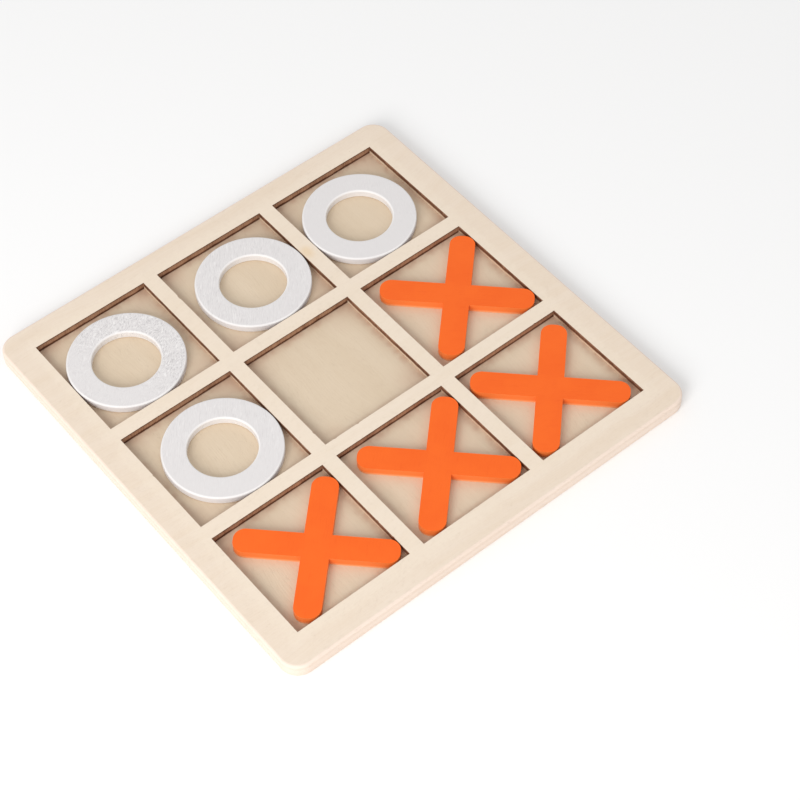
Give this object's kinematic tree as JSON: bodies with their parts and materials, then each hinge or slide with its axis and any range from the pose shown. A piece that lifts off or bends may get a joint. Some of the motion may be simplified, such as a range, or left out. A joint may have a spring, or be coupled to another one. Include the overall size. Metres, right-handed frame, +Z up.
{
  "type": "noughts and crosses board game",
  "caption": "Flat square plywood tic-tac-toe board with recessed cells, loose white ring pieces and loose orange cross pieces.",
  "frame": {"origin": "centre of the underside of the board", "axes": "+Z up, out of the recesses; +X and +Y along the board's sides, rings towards -X and +Y, crosses towards +X and -Y"},
  "size_m": [0.151, 0.151, 0.0054],
  "materials": {
    "panel_wood": "bare sanded basswood plywood with a faint fine grain, shaded by the recess walls",
    "grid_wood": "bare sanded basswood plywood, with brown laser-scorched walls round the recesses",
    "white_paint": "plywood in satin white paint, with the wood grain showing through as fine ridges",
    "orange_paint": "plywood in smooth satin orange paint, thin at the arms' edges"
  },
  "bodies": {
    "board": {"base_panel": "panel_wood", "grid_frame": "grid_wood"},
    "nought_1": {"nought_1": "white_paint"},
    "nought_2": {"nought_2": "white_paint"},
    "nought_3": {"nought_3": "white_paint"},
    "nought_4": {"nought_4": "white_paint"},
    "cross_1": {"cross_1": "orange_paint"},
    "cross_2": {"cross_2": "orange_paint"},
    "cross_3": {"cross_3": "orange_paint"},
    "cross_4": {"cross_4": "orange_paint"}
  },
  "joints": [
    {"name": "nought_1_lift", "type": "slide", "parent": "board", "child": "nought_1", "axis": [0, 0, 1], "range_m": [0, 0.03]},
    {"name": "nought_2_lift", "type": "slide", "parent": "board", "child": "nought_2", "axis": [0, 0, 1], "range_m": [0, 0.03]},
    {"name": "nought_3_lift", "type": "slide", "parent": "board", "child": "nought_3", "axis": [0, 0, 1], "range_m": [0, 0.03]},
    {"name": "nought_4_lift", "type": "slide", "parent": "board", "child": "nought_4", "axis": [0, 0, 1], "range_m": [0, 0.03]},
    {"name": "cross_1_lift", "type": "slide", "parent": "board", "child": "cross_1", "axis": [0, 0, 1], "range_m": [0, 0.03]},
    {"name": "cross_2_lift", "type": "slide", "parent": "board", "child": "cross_2", "axis": [0, 0, 1], "range_m": [0, 0.03]},
    {"name": "cross_3_lift", "type": "slide", "parent": "board", "child": "cross_3", "axis": [0, 0, 1], "range_m": [0, 0.03]},
    {"name": "cross_4_lift", "type": "slide", "parent": "board", "child": "cross_4", "axis": [0, 0, 1], "range_m": [0, 0.03]}
  ]
}
